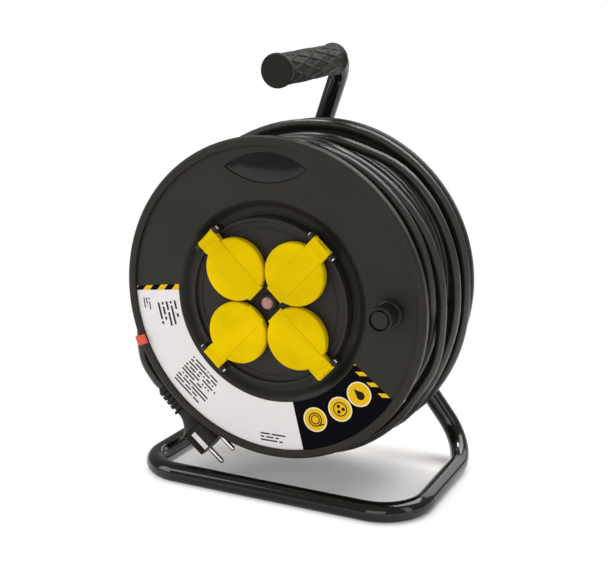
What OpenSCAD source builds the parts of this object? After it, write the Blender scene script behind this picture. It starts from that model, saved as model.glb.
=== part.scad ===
// Extension cord reel: a cable drum with a socket panel, turning on a bent tube stand.
// The stand rests on z = 0, the drum's axle runs along y, and the sockets face -y.

/* [Drum] */
// Diameter of both flanges
flange_d = 290; // [260:2:360]
// Width of the drum over both rims
drum_w = 130; // [120:1:170]
// Outer diameter of the barrel that the cable is wound on
barrel_d = 163; // [160:1:200]
// Thickness of the barrel's wall
barrel_wall = 2.5; // [2:0.5:4]
// Thickness of the flat flange webs
web_t = 3.5; // [3:0.5:5]
// Radial width of the bead round each rim
rim_w = 8; // [6:0.5:12]
// Depth of the rim bead
rim_depth = 9; // [8:0.5:12]
// How far the web lies behind the rim's front
web_inset = 3; // [1:0.5:4]
// Angle that the drum stands at
drum_turn = 2; // [0:1:359]

/* [Sockets] */
// Diameter of the socket panel
plate_d = 151; // [148:1:154]
// Distance of each socket from the axle
socket_r = 40.6; // [38:0.1:42]
// Diameter of a socket well
well_d = 39.2; // [39:0.1:40]
// Depth of a socket well below the panel
well_depth = 18; // [17.5:0.5:22]
// Wall of a socket well
well_wall = 2.2; // [1.5:0.1:2.6]
// Distance between the two contacts of a socket or plug
contact_pitch = 19; // [19:0.5:20]

/* [Lids] */
// Diameter of a lid
lid_d = 56.2; // [54:0.2:56.6]
// Width of a lid's hinge neck
neck_w = 20; // [16:0.5:24]
// Distance of the hinge pins from the axle
hinge_r = 77.5; // [76.5:0.1:79]
// Diameter of a hinge pin
pin_d = 2.5; // [2:0.1:3]
// Thickness of a hinge ear
ear_t = 4; // [3:0.5:6]

/* [Knob and button] */
// Distance of the winding knob from the axle
knob_r = 112; // [106:1:120]
// Diameter of the winding knob
knob_d = 22; // [18:1:26]
// How far the knob stands out of the rim's plane
knob_reach = 22; // [16:1:40]
// Diameter of the reset button
button_d = 10.8; // [9:0.2:13]
// Travel of the reset button
button_travel = 3; // [2:0.5:4]

/* [Stand] */
// Diameter of the stand's tube
tube_d = 18; // [16:0.5:22]
// Wall of the stand's tube
tube_wall = 1.5; // [1.2:0.1:2.5]
// Width of the base over the tube's centre lines
base_w = 272; // [240:2:340]
// Gap between the flanges and the floor
floor_gap = 40; // [36:1:80]
// How far the front bar lies ahead of the front rim
front_bar_lead = 5; // [2:1:40]
// Gap between the rear rim and the rear tubes' centre line
rear_gap = 30; // [28:1:50]
// Height of the grip's centre above the flanges
grip_rise = 53; // [50:1:80]
// Length of the grip
grip_len = 123; // [100:1:125]
// Diameter of the grip
grip_d = 27; // [25:0.5:34]
// Bend radius of the base corners
corner_bend = 40; // [30:1:50]
// Bend radius below the grip
grip_bend = 22; // [20:1:24]

/* [Cable] */
// Diameter of the cable
cable_d = 9; // [8:0.1:10.5]
// Radius of the full layers of cable
core_r = 126.5; // [110:0.5:127]
// Turns of the loose outer layer
outer_turns = 5; // [2:1:5]

/* [Axle] */
// Diameter of the spindle in its bush
spindle_d = 20; // [16:0.5:24]
// Wall of the bearing bush
bush_wall = 2.9; // [2:0.1:4]
// Diameter of the spindle's bolt end
bolt_d = 12; // [10:0.5:14]

/* [Clearances] */
// Radial clearance of a turning fit
run_gap = 0.06; // [0.03:0.01:0.1]
// Radial clearance of a seated fit
seat_gap = 0.1; // [0.05:0.05:0.3]
// Gap between pieces that pass each other
part_gap = 0.3; // [0.2:0.05:0.5]

/* [Hidden] */
$fn = 64;
flange_r = flange_d / 2;
axle_h = floor_gap + flange_r;
tube_r = tube_d / 2;
bore_r = tube_r - tube_wall;

// Depths along the drum's axis count from the front rim's plane, positive towards the sockets' side
web_front = -web_inset;
web_back = web_front - web_t;
dish_depth = 6;
barrel_front = web_back - dish_depth;
rear_face = rim_depth - 0.5 - drum_w;
rear_web_back = rear_face - web_t;
rear_back = -drum_w;
barrel_or = barrel_d / 2;
barrel_ir = barrel_or - barrel_wall;
dish_foot_r = barrel_or + 0.5;
dish_top_r = dish_foot_r + 10;

// Panel levels
plate_r = plate_d / 2;
plate_face = -1;
plate_t = 3;
plate_back = plate_face - plate_t;
plate_rim_top = 2;
plate_rim_w = 3;
plate_foot = -14;
gasket_t = 1.3;
shelf_top = plate_foot - gasket_t;
shelf_t = 3;
shelf_back = shelf_top - shelf_t;
spigot_r = barrel_ir - 0.2;
panel_hole_r = plate_r + part_gap;
plate_screw_r = plate_r - 6.5;
plate_screw_d = 3.5;

// Socket wells
well_r = well_d / 2;
well_or = well_r + well_wall;
collar_top = 3.5;
well_floor = plate_face - well_depth;
shelf_ir = socket_r + well_or + 1;
insert_t = 7;
contact_boss_r = 5.5;
contact_boss_len = 16;
sleeve_or = 3.4;
sleeve_ir = 2.45;
contact_entry_r = 2.9;

// Lids and hinges
lid_r = lid_d / 2;
barrel_r = 3.3;
hinge_z = plate_rim_top + part_gap + barrel_r;
lid_top = 9;
lid_band_w = 18;
lid_under = 5.5;
lid_skirt_foot = 1.2;
pin_r = pin_d / 2;
ear_gap = part_gap;
ear_r = 3.4;
wire_d = 0.7;
spring_r = pin_r + 0.3 + wire_d / 2;
spring_curls = 6;
spring_pitch = 1.3;
pocket_r = spring_r + wire_d / 2 + 0.25;
pocket_w = spring_curls * spring_pitch + 2 * wire_d + 0.8;
gasket_foot = collar_top + part_gap;

// Button and cut-out
button_r = button_d / 2;
button_front = 5;
button_foot = -7;
button_flange_r = button_r + 1.2;
cavity_r = button_flange_r + part_gap;
cavity_floor = button_foot - button_travel - 4;
breaker_size = [26, 18, 32];

// Knob
knob_or = knob_d / 2;
knob_pin_r = 4;
knob_head_r = 7.4;
knob_head_t = 2.6;
knob_seat = web_front + 2.5;

// Axle, depths behind the front rim's plane
leg_y = drum_w + rear_gap;
spindle_r = spindle_d / 2;
bush_or = spindle_r + run_gap + bush_wall;
hub_r = bush_or + seat_gap + 4.5;
hub_front = drum_w - 46;
hub_back = drum_w + 11;
bush_flange_t = 2.7;
shoulder_y = hub_back + bush_flange_t + part_gap;
shoulder_t = 4;
shoulder_r = hub_r + 0.5;
saddle_r = tube_r + 5;
saddle_front = shoulder_y + shoulder_t;
saddle_back = leg_y + tube_r + 2.5;
axle_washer_t = 2;
nut_t = 10;
bolt_end = saddle_back + axle_washer_t + nut_t + 1.5;
thrust_t = 2;
circlip_t = 1.2;
thrust_front = hub_front - part_gap - thrust_t;

// The stand's bends, from the grip's front end round to the weld on the long tube.
// A bend's wall is a hair thicker than the straight runs, which lap into it.
bend_swell = 0.03;
bend_lap = 0.4;
foot_z = tube_r + bend_swell;
grip_z = axle_h + flange_r + grip_rise;
grip_front = 16;
half_base = base_w / 2;
left_foot_x = half_base - 9;
grip_top = [0, leg_y, grip_z];
left_rear = [-left_foot_x, leg_y, foot_z];
left_front = [-half_base, -front_bar_lead, foot_z];
right_front = [half_base, -front_bar_lead, foot_z];
right_rear = [half_base, leg_y, foot_z];
axle_point = [0, leg_y, axle_h];
long_slope = left_foot_x / (grip_z - foot_z);
leg_slope = half_base / (axle_h - foot_z);
weld_z = foot_z + (half_base + left_foot_x) / (long_slope + leg_slope);
weld_point = [half_base - leg_slope * (weld_z - foot_z), leg_y, weld_z];

// The part's origin lies under the middle of its depth
front_y = (knob_reach - bolt_end) / 2;

// Cable: the outer layer climbs off the core at the rear and runs forward to the lead
cable_r = cable_d / 2;
loop_rings = 24;
layer_front_r = (core_r + cable_r + part_gap) / cos(180 / loop_rings);
layer_rear_r = layer_front_r + 4;
layer_front_z = web_back - cable_d - 2.5;
layer_rear_z = rear_face + cable_d + 0.5;
layer_end = 165;
climb_r = 90;
climb_sweep = 65;

// Plug: its place on the rim, its pose and its sizes
plug_place_r = flange_r + 15.2;
plug_angle = 236;
plug_tilt = 8;
plug_z = -rim_depth - 11.5;
plug_head_r = 17.8;
plug_bell_r = plug_head_r + 1.4;
plug_head_len = 22;
plug_body_len = 24;
relief_len = 26;
relief_r = 7.4;
relief_ribs = 4;
relief_pitch = 5.4;
plug_pin_r = 2.4;
plug_pin_len = 19;
pin_collar_r = plug_pin_r + 0.8;
plug_heading = plug_angle + 90 - plug_tilt;
plug_centre = [plug_place_r * cos(plug_angle), plug_place_r * sin(plug_angle), plug_z];
plug_axis = [cos(plug_heading), sin(plug_heading), 0];
relief_end = plug_centre - (plug_body_len + relief_len) * plug_axis;

// Points of the winding's outer layer, with one straight cable diameter at each end
function polar(r, a, z) = [r * cos(a), r * sin(a), z];
function along(a) = [-sin(a), cos(a), 0];
layer_steps = outer_turns * loop_rings;
function layer_point(k) =
    let (u = k / layer_steps)
    polar(
        layer_rear_r + u * (layer_front_r - layer_rear_r),
        layer_end + 360 * outer_turns * (u - 1),
        layer_rear_z + u * (layer_front_z - layer_rear_z)
    );
layer_coil = [for (k = [0 : layer_steps]) layer_point(k)];
layer_start = layer_coil[0] - cable_d * along(layer_end);
layer_tail = layer_coil[layer_steps] + cable_d * along(layer_end);
layer_path = concat([layer_start], layer_coil, [layer_tail]);

// Route of the free lead from the winding to the plug's strain relief
lead_route = [
    [-137.8, -2, -19.5],
    [-142.7, -20.7, -20.6],
    [-146.5, -39.5, -21.2],
    [-147.8, -58.7, -21.3],
    [-144.2, -77.6, -20.8],
];
lead_path = concat(
    [layer_tail, layer_tail + cable_d * along(layer_end)],
    lead_route,
    [relief_end - cable_d * plug_axis, relief_end]
);

// Points of a hinge spring round its pin
spring_steps = spring_curls * 8;
spring_coil = [
    for (k = [0 : spring_steps])
        let (a = 45 * k, u = k / spring_steps - 0.5)
        [spring_r * cos(a), spring_r * sin(a), spring_curls * spring_pitch * u]
];
spring_path = concat(
    [spring_coil[0] - wire_d * [0, 1, 0]],
    spring_coil,
    [spring_coil[spring_steps] + wire_d * [0, 1, 0]]
);

// Points of the button's return spring
return_wire_d = 0.8;
return_r = button_flange_r - 1;
return_curls = 4;
return_steps = return_curls * 8;
return_foot = cavity_floor + return_wire_d / 2 + 0.05;
return_top = button_foot - return_wire_d / 2 - 0.05;
return_coil = [
    for (k = [0 : return_steps])
        let (a = 45 * k)
        [return_r * cos(a), return_r * sin(a), return_foot + (return_top - return_foot) * k / return_steps]
];
return_path = concat(
    [return_coil[0] - return_wire_d * [0, 1, 0]],
    return_coil,
    [return_coil[return_steps] + return_wire_d * [0, 1, 0]]
);

// Least clear distance between two runs of one tube at least skip points apart
function least_gap(path, d, skip) =
    min([for (i = [0 : len(path) - 1]) for (j = [i + skip : 1 : len(path) - 1]) norm(path[i] - path[j])]) - d;
echo(outer_layer_gap = least_gap(layer_path, cable_d, 12));
echo(hinge_spring_gap = least_gap(spring_path, wire_d, 4));
echo(return_spring_gap = least_gap(return_path, return_wire_d, 4));

// Frames: the drum's face seen from the front, one socket seen along its diagonal, and the plug along its axis
module on_axle() translate([0, front_y, axle_h]) rotate([90, 0, 0]) children();
module on_drum() on_axle() rotate([0, 0, drum_turn]) children();
module at_socket(i) on_drum() rotate([0, 0, 90 * i - 45]) children();
module on_plug() on_drum() translate(plug_centre) rotate([0, 0, plug_heading]) rotate([0, 90, 0]) children();
module behind(y) on_axle() translate([0, 0, -y]) children();

// Shapes that repeat
function unit(v) = v / norm(v);
function arc(cx, cy, r, from, to, steps = 6) =
    [for (k = [0 : steps]) let (a = from + (to - from) * k / steps) [cx + r * cos(a), cy + r * sin(a)]];

module tube_between(z0, z1, ro, ri)
    translate([0, 0, z0]) linear_extrude(z1 - z0) difference() {
        circle(ro);
        circle(ri);
    }

module along_line(a, b) {
    w = unit(b - a);
    u = unit(cross(w, abs(w.z) < 0.9 ? [0, 0, 1] : [1, 0, 0]));
    v = cross(w, u);
    multmatrix([
        [u.x, v.x, w.x, a.x],
        [u.y, v.y, w.y, a.y],
        [u.z, v.z, w.z, a.z],
        [0, 0, 0, 1]
    ]) children();
}

function turn(a, b, c) = acos(unit(b - a) * unit(c - b));
function trim(a, b, c, r) = r * tan(turn(a, b, c) / 2);

// One bend of the stand's tube at corner b, on its way from a to c
module tube_bend(a, b, c, r) {
    u = unit(b - a);
    v = unit(c - b);
    m = unit(v - (v * u) * u);
    n = cross(u, m);
    centre = b - trim(a, b, c, r) * u + r * m;
    multmatrix([
        [-m.x, u.x, n.x, centre.x],
        [-m.y, u.y, n.y, centre.y],
        [-m.z, u.z, n.z, centre.z],
        [0, 0, 0, 1]
    ]) rotate_extrude(angle = turn(a, b, c)) translate([r, 0]) difference() {
        circle(tube_r + bend_swell);
        circle(bore_r - bend_swell);
    }
}

module tube_run(a, b) along_line(a, b) tube_between(0, norm(b - a), tube_r, bore_r);

// A closed tube of flat-sided rings along a path, with the rings turned about the given axis
module swept_tube(path, d, sides, axis) {
    last = len(path) - 1;
    rings = [
        for (i = [0 : last])
            let (
                t = unit(path[min(i + 1, last)] - path[max(i - 1, 0)]),
                s = unit(cross(t, axis)),
                q = cross(s, t)
            )
            for (k = [0 : sides - 1])
                let (a = 360 * k / sides)
                path[i] + d / 2 * (cos(a) * s + sin(a) * q)
    ];
    sides_faces = [
        for (i = [0 : last - 1])
            for (k = [0 : sides - 1])
                let (
                    a = i * sides + k,
                    b = i * sides + (k + 1) % sides,
                    c = a + sides,
                    e = b + sides
                )
                each [[a, b, e], [a, e, c]]
    ];
    start_cap = [for (k = [1 : sides - 2]) [0, k + 1, k]];
    end_cap = [for (k = [1 : sides - 2]) [last * sides, last * sides + k, last * sides + k + 1]];
    polyhedron(points = rings, faces = concat(sides_faces, start_cap, end_cap));
}

// Stand
module frame_tube() color("#17181a") translate([0, front_y, 0]) difference() {
    union() {
        corners = [[0, grip_front + 8, grip_z], grip_top, left_rear, left_front, right_front, right_rear, weld_point];
        bends = [0, grip_bend, corner_bend, corner_bend - 4, corner_bend + 2, corner_bend, 0];
        for (i = [0 : len(corners) - 3]) {
            a = corners[i];
            b = corners[i + 1];
            c = corners[i + 2];
            w = unit(b - a);
            from = i == 0 ? a : a + (trim(corners[i - 1], a, b, bends[i]) - bend_lap) * w;
            tube_run(from, b - (trim(a, b, c, bends[i + 1]) - bend_lap) * w);
            tube_bend(a, b, c, bends[i + 1]);
        }
        leg_start = right_rear
            + (trim(right_front, right_rear, weld_point, corner_bend) - bend_lap) * unit(weld_point - right_rear);
        difference() {
            tube_run(leg_start, weld_point);
            along_line(left_rear, grip_top) cylinder(r = tube_r - tube_wall / 2, h = norm(grip_top - left_rear));
        }
    }
    translate(axle_point) rotate([90, 0, 0]) cylinder(d = bolt_d + 2 * seat_gap, h = 2 * tube_d, center = true);
}

module handle_grip() color("#26272a") translate([0, front_y + grip_front, grip_z]) rotate([-90, 0, 0])
    rotate_extrude() polygon(concat(
        [[0, 0]],
        arc(grip_d / 2 - 1, 2.5, 2.5, -90, 0),
        [[grip_d / 2 + 1.5, 4.2], [grip_d / 2, 7]],
        [[grip_d / 2 - 0.5, grip_len / 2], [grip_d / 2 - 0.3, grip_len - 8]],
        arc(grip_d / 2 - 0.4, grip_len - 3, 1.2, 0, 90),
        [[tube_r + seat_gap, grip_len - 1.8], [tube_r + seat_gap, 8], [0, 8]]
    ));

module axle_spindle() color("#b9bcc0") {
    difference() {
        behind(shoulder_y) cylinder(r = spindle_r, h = shoulder_y - thrust_front + 6);
        behind(thrust_front) tube_between(0, circlip_t + seat_gap, spindle_r + 1, spindle_r - 1);
    }
    behind(saddle_front) cylinder(r = shoulder_r, h = shoulder_t);
    behind(bolt_end) cylinder(d = bolt_d, h = bolt_end - saddle_front);
}

module saddle_washers() color("#2a2b2e") for (face = [saddle_front, saddle_back]) difference() {
    inner = leg_y + (face < leg_y ? -tube_r / 2 : tube_r / 2);
    behind(max(face, inner)) tube_between(0, abs(face - inner), saddle_r, bolt_d / 2 + seat_gap);
    translate([0, front_y, 0]) along_line(right_rear, weld_point)
        cylinder(r = tube_r + seat_gap, h = norm(weld_point - right_rear));
}

module axle_washer() color("#b9bcc0")
    behind(saddle_back + axle_washer_t) tube_between(0, axle_washer_t, bolt_d + 1, bolt_d / 2 + seat_gap);

module axle_nut() color("#b9bcc0") behind(saddle_back + axle_washer_t + nut_t) difference() {
    cylinder(d = 1.8 * bolt_d, h = nut_t, $fn = 6);
    translate([0, 0, -1]) cylinder(d = bolt_d + 2 * seat_gap, h = nut_t + 2);
}

module thrust_washer() color("#d8d8d2")
    behind(hub_front - part_gap) tube_between(0, thrust_t, hub_r, spindle_r + seat_gap);

module circlip() color("#3a3c40") behind(thrust_front) difference() {
    tube_between(0, circlip_t, spindle_r + 2.5, spindle_r - 1 + seat_gap);
    translate([0, spindle_r, circlip_t / 2]) cube([5, 8, 2 * circlip_t], center = true);
}

// Drum
module front_flange() color("#232427") on_drum() difference() {
    union() {
        rotate_extrude($fn = 128) polygon(concat(
            [[panel_hole_r, barrel_front + web_t]],
            [for (k = [0 : 12]) let (u = k / 12)
                [dish_foot_r + (dish_top_r - dish_foot_r) * u, web_front - dish_depth * (1 + cos(180 * u)) / 2]],
            [[flange_r - rim_w, web_front]],
            arc(flange_r - rim_w + 1.5, -1.5, 1.5, 180, 90, 4),
            arc(flange_r - 3, -3, 3, 90, 0),
            arc(flange_r - 2.5, 2.5 - rim_depth, 2.5, 0, -90),
            [[flange_r - rim_w, -rim_depth], [flange_r - rim_w - 2, web_back], [dish_top_r, web_back]],
            [[dish_foot_r + 1.5, barrel_front], [spigot_r, barrel_front], [spigot_r, shelf_back]],
            [[shelf_ir, shelf_back], [shelf_ir, shelf_top], [panel_hole_r, shelf_top]]
        ));
        translate([knob_r, 0, web_front - 1]) cylinder(r = knob_or + 1.5, h = knob_seat - web_front + 1);
    }
    translate([0, flange_r - 27.5, web_front - 1.8]) badge_recess();
    translate([knob_r, 0, web_back - 1]) cylinder(r = knob_pin_r + seat_gap, h = web_t + 8);
    translate([knob_r, 0, web_back - 1]) cylinder(r = knob_head_r - 0.4 + seat_gap, h = 2.6);
    for (a = [0 : 90 : 270]) rotate([0, 0, a]) translate([plate_screw_r, 0, shelf_back - 1])
        cylinder(d = plate_screw_d + 2 * seat_gap, h = shelf_t + 2);
}

// Lens-shaped recess near the top of the front flange
module badge_recess() {
    half_w = 40;
    half_h = 13.5;
    r = (half_w * half_w + half_h * half_h) / (2 * half_h);
    intersection_for (side = [-1, 1]) translate([0, side * (r - half_h), 0]) cylinder(r = r, h = 6, $fn = 128);
}

module rear_flange() color("#232427") on_drum() difference() {
    union() {
        rotate_extrude($fn = 128) polygon(concat(
            [[bush_or + seat_gap, -hub_front], [hub_r, -hub_front], [hub_r + 1.5, rear_face]],
            [[barrel_ir - 3.2, rear_face], [barrel_ir - 3.2, rear_face + 6], [barrel_ir - 0.2, rear_face + 6]],
            [[barrel_ir - 0.2, rear_face], [flange_r - rim_w, rear_face]],
            arc(flange_r - 2.5, rear_face - 2.5, 2.5, 90, 0),
            arc(flange_r - 3, rear_back + 3, 3, 0, -90),
            arc(flange_r - rim_w + 1.5, rear_back + 1.5, 1.5, -90, -180, 4),
            [[flange_r - rim_w, rear_web_back], [hub_r + 14, rear_web_back], [hub_r + 2, -hub_back]],
            [[bush_or + seat_gap, -hub_back]]
        ));
        translate([0, 0, rear_back + 1]) tube_between(0, rear_web_back - rear_back, barrel_or + 1.5, barrel_or - 1.5);
        for (a = [0 : 30 : 330]) rotate([0, 0, a]) translate([hub_r + 4, -1.5, rear_back + 1])
            cube([flange_r - rim_w - hub_r - 3.5, 3, rear_web_back - rear_back]);
    }
    for (a = [15 : 60 : 315]) rotate([0, 0, a]) translate([barrel_ir - 5.5, 0, rear_back - 1])
        cylinder(d = 4 + 2 * seat_gap, h = drum_w);
}

module drum_barrel() color("#1d1e20") on_drum() difference() {
    union() {
        tube_between(rear_face, barrel_front, barrel_or, barrel_ir);
        for (a = [15 : 60 : 315]) rotate([0, 0, a]) translate([barrel_ir - 5.5, 0, rear_face + 6 + part_gap])
            cylinder(r = 6, h = 22);
    }
    for (a = [15 : 60 : 315]) rotate([0, 0, a]) translate([barrel_ir - 5.5, 0, rear_face])
        cylinder(d = 4 + 2 * seat_gap, h = 24);
    rotate([0, 0, cord_inlet_angle]) translate([barrel_ir - 6, 0, cord_inlet_z]) rotate([0, 90, 0])
        cylinder(d = cable_d + 1, h = 12);
}

module rear_bush() color("#e4e2da") behind(hub_back + bush_flange_t) {
    tube_between(0, hub_back + bush_flange_t - hub_front, bush_or, spindle_r + run_gap);
    tube_between(0, bush_flange_t, hub_r, spindle_r + run_gap);
}

module flange_screws() color("#9a9da1") on_drum() for (a = [15 : 60 : 315])
    rotate([0, 0, a]) translate([barrel_ir - 5.5, 0, 0]) {
        translate([0, 0, rear_web_back - 2.4]) difference() {
            cylinder(d = 8, h = 2.4);
            translate([0, 0, -1]) cylinder(d = 3, h = 2.2, $fn = 6);
        }
        translate([0, 0, rear_web_back]) cylinder(d = 4, h = 22);
    }

// Place of the cable's way through the barrel's wall
cord_inlet_angle = 160;
cord_inlet_len = 18;
cord_inlet_z = shelf_back - part_gap - cord_inlet_len / 2;

// A block that follows the inside of the barrel's wall
module wall_block(w, depth, len) intersection() {
    translate([barrel_ir - depth, -w / 2, -len / 2]) cube([depth + 4, w, len]);
    cylinder(r = barrel_ir - seat_gap, h = len, center = true);
}

module cord_inlet() color("#2c2d30") on_drum() rotate([0, 0, cord_inlet_angle]) translate([0, 0, cord_inlet_z])
    difference() {
        wall_block(26, 14, cord_inlet_len);
        translate([barrel_ir - 20, 0, 0]) rotate([0, 90, 0]) cylinder(d = cable_d + 0.4, h = 30);
        for (s = [-1, 1]) translate([barrel_ir - 20, 9.5 * s, 0]) rotate([0, 90, 0]) cylinder(d = 3.4, h = 12);
    }

module terminal_block() color("#e9e6dc") on_drum() rotate([0, 0, 270]) translate([0, 0, rear_face + 40])
    difference() {
        wall_block(44, 16, 18);
        for (s = [-1, 0, 1]) translate([barrel_ir - 20, 13 * s, 0]) {
            rotate([0, 90, 0]) cylinder(d = 5, h = 12);
            translate([10, 0, 0]) cylinder(d = 4, h = 30, center = true);
        }
    }

// Socket panel
module socket_plate() color("#202124") on_drum() difference() {
    union() {
        difference() {
            rotate_extrude($fn = 128) polygon(concat(
                [[0, plate_back], [0, plate_face], [plate_r - 11, plate_face], [plate_r - 10.5, plate_face - 0.6]],
                [[plate_r - 8.5, plate_face - 0.6], [plate_r - 8, plate_face]],
                [[plate_r - plate_rim_w, plate_face]],
                arc(plate_r - plate_rim_w + 0.8, plate_rim_top - 0.8, 0.8, 180, 90, 3),
                arc(plate_r - 0.8, plate_rim_top - 0.8, 0.8, 90, 0, 3),
                [[plate_r, plate_foot], [plate_r - plate_rim_w, plate_foot], [plate_r - plate_rim_w, plate_back]]
            ));
            for (i = [1 : 4]) rotate([0, 0, 90 * i - 45]) translate([socket_r, 0, plate_back - 1])
                cylinder(r = well_r + 0.5, h = plate_t + 2);
        }
        for (i = [1 : 4]) rotate([0, 0, 90 * i - 45]) {
            translate([socket_r, 0, 0]) tube_between(well_floor, collar_top, well_or, well_r);
            for (s = [-1, 1]) hinge_ear(s);
        }
        for (a = [0 : 90 : 270]) rotate([0, 0, a]) translate([plate_screw_r, 0, plate_foot])
            cylinder(r = 4.5, h = plate_back - plate_foot + 1);
    }
    for (a = [0 : 90 : 270]) rotate([0, 0, a]) translate([plate_screw_r, 0, plate_foot - 1])
        cylinder(d = plate_screw_d + 2 * seat_gap, h = plate_back - plate_foot - 1);
    translate([0, 0, plate_back - 1]) cylinder(r = button_r + seat_gap, h = plate_t + 2);
}

// One of the two ears that hold a hinge pin, on side s of the neck
module hinge_ear(s) {
    inner = neck_w / 2 + ear_gap;
    translate([0, s > 0 ? inner + ear_t : -inner, 0]) rotate([90, 0, 0]) linear_extrude(ear_t) difference() {
        union() {
            polygon([
                [plate_r - 2, plate_back],
                [plate_r + 2, plate_back - 2],
                [hinge_r + ear_r - 0.2, plate_face],
                [hinge_r + ear_r - 0.2, hinge_z + 0.8],
                [hinge_r - ear_r + 0.2, hinge_z + 0.8],
                [plate_r - 2.6, plate_rim_top - 1],
            ]);
            translate([hinge_r, hinge_z]) circle(ear_r);
        }
        translate([hinge_r, hinge_z]) circle(pin_r + seat_gap / 2);
    }
}

module plate_gasket() color("#3b3c3f") on_drum() difference() {
    tube_between(shelf_top, plate_foot, plate_r - 0.3, shelf_ir + 0.5);
    for (a = [0 : 90 : 270]) rotate([0, 0, a]) translate([plate_screw_r, 0, shelf_top - 1])
        cylinder(d = plate_screw_d + 0.6, h = gasket_t + 2);
}

module plate_screws() color("#9a9da1") on_drum() for (a = [0 : 90 : 270])
    rotate([0, 0, a]) translate([plate_screw_r, 0, 0]) {
        translate([0, 0, shelf_back - 2.4]) cylinder(d = 2 * plate_screw_d, h = 2.4);
        translate([0, 0, shelf_back]) cylinder(d = plate_screw_d, h = plate_back - 3 - shelf_back);
    }

module socket_insert(i) color("#2b2c2f") at_socket(i) translate([socket_r, 0, well_floor]) difference() {
    union() {
        translate([0, 0, -insert_t]) cylinder(r = well_or, h = insert_t);
        for (s = [-1, 1]) translate([0, s * contact_pitch / 2, -insert_t - contact_boss_len])
            cylinder(r = contact_boss_r, h = contact_boss_len + 1);
    }
    for (s = [-1, 1]) {
        translate([0, s * contact_pitch / 2, -insert_t - contact_boss_len - 1]) {
            cylinder(r = contact_entry_r, h = insert_t + contact_boss_len + 2);
            cylinder(r = sleeve_or + seat_gap, h = insert_t + contact_boss_len);
        }
        translate([s * clip_r - 0.8, -3.4, -insert_t - 1]) cube([1.6, 6.8, insert_t + 2]);
    }
}

module contact_sleeves() color("#c8a24a") for (i = [1 : 4]) at_socket(i) for (s = [-1, 1])
    translate([socket_r, s * contact_pitch / 2, well_floor]) difference() {
        tube_between(-insert_t - contact_boss_len, -1 - part_gap, sleeve_or, sleeve_ir);
        translate([0, 0, -4]) cube([0.8, 3 * sleeve_or, 14], center = true);
    }

// Distance of the earth clips from a socket's middle
clip_r = well_r - 1.3;

module earth_clips(i) color("#c9cbcd") at_socket(i) translate([socket_r, 0, 0]) for (s = [0, 180])
    rotate([0, 0, s]) translate([clip_r, 3, 0]) rotate([90, 0, 0]) linear_extrude(6) polygon([
        [0.4, well_floor - insert_t - 5],
        [0.4, well_floor + 4],
        [-1.2, -9],
        [0.2, -3.5],
        [-0.6, -3.5],
        [-2, -9],
        [-0.4, well_floor + 4],
        [-0.4, well_floor - insert_t - 5],
    ]);

module breaker_body() color("#2f3033") on_drum() difference() {
    translate([0, 0, plate_back - breaker_size.z / 2]) cube(breaker_size, center = true);
    translate([0, 0, cavity_floor]) cylinder(r = cavity_r, h = -cavity_floor);
    for (s = [-1, 1]) translate([8 * s, 0, plate_back - breaker_size.z - 1]) cube([3, 7, 12], center = true);
}

module breaker_bezel() color("#17181a") on_drum() difference() {
    rotate_extrude() polygon([
        [button_r + seat_gap, plate_face],
        [button_r + 3, plate_face],
        [button_r + 2.4, plate_face + 2],
        [button_r + seat_gap, plate_face + 2.2],
    ]);
}

module button_spring() color("#b9bcc0") on_drum() swept_tube(return_path, return_wire_d, 6, [0, 0, 1]);

module reset_button() color("#d9a8a4") on_drum() rotate_extrude() polygon(concat(
    [[0, button_foot], [button_flange_r, button_foot], [button_flange_r, button_foot + 2]],
    [[button_r, button_foot + 2]],
    arc(button_r - 1, button_front - 1.4, 1, 0, 90, 4),
    [[0, button_front]]
));

// Lids
// Hinge pin with a domed head outside each ear
module lid_pin(i) color("#c9cbcd") at_socket(i) translate([hinge_r, 0, hinge_z]) rotate([90, 0, 0]) {
    head_z = neck_w / 2 + ear_gap + ear_t + 0.05;
    cylinder(r = pin_r, h = 2 * head_z + 0.2, center = true);
    for (s = [0, 180]) rotate([s, 0, 0]) translate([0, 0, head_z]) rotate_extrude() polygon(concat(
        [[0, 0], [pin_r + 0.9, 0]],
        arc(pin_r - 0.1, 0.3, 1, 0, 90, 4),
        [[0, 1.3]]
    ));
}

module lid_spring(i) color("#b9bcc0") at_socket(i) translate([hinge_r, 0, hinge_z]) rotate([90, 0, 0])
    swept_tube(spring_path, wire_d, 6, [0, 0, 1]);

module lid(i) color("#f2dc0a") at_socket(i) difference() {
    union() {
        translate([socket_r, 0, 0]) {
            rotate_extrude($fn = 96) polygon(concat(
                [[0, lid_under], [lid_r - 2.4, lid_under], [lid_r - 2.4, lid_skirt_foot], [lid_r, lid_skirt_foot]],
                arc(lid_r - 1.6, 6.2, 1.6, 0, 70, 4),
                [[lid_r - 9, lid_top - 0.6], [0, lid_top - 0.2]]
            ));
            intersection() {
                translate([-lid_r, -lid_band_w / 2, lid_top - 2]) cube([2 * lid_r, lid_band_w, 2.4]);
                cylinder(r = lid_r - 1.2, h = lid_top + 3);
            }
            translate([-lid_r - 0.6, -8, lid_under - 0.4]) cube([2.6, 16, 2.2]);
        }
        translate([socket_r + lid_r - 1.6, -neck_w / 2, hinge_z - 2.6])
            cube([hinge_r - socket_r - lid_r + 1.6, neck_w, 5.5]);
        translate([socket_r + lid_r - 2.5, -neck_w / 2 + 1, lid_under])
            cube([5.5, neck_w - 2, lid_top - lid_under + 0.3]);
        translate([hinge_r, 0, hinge_z]) rotate([90, 0, 0]) cylinder(r = barrel_r, h = neck_w, center = true);
    }
    translate([hinge_r, 0, hinge_z]) rotate([90, 0, 0]) cylinder(r = pin_r + run_gap, h = neck_w + 2, center = true);
    translate([hinge_r - pocket_r - 2, -pocket_w / 2, -1]) cube([2 * pocket_r + 2, pocket_w, hinge_z + pocket_r + 1]);
}

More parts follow.
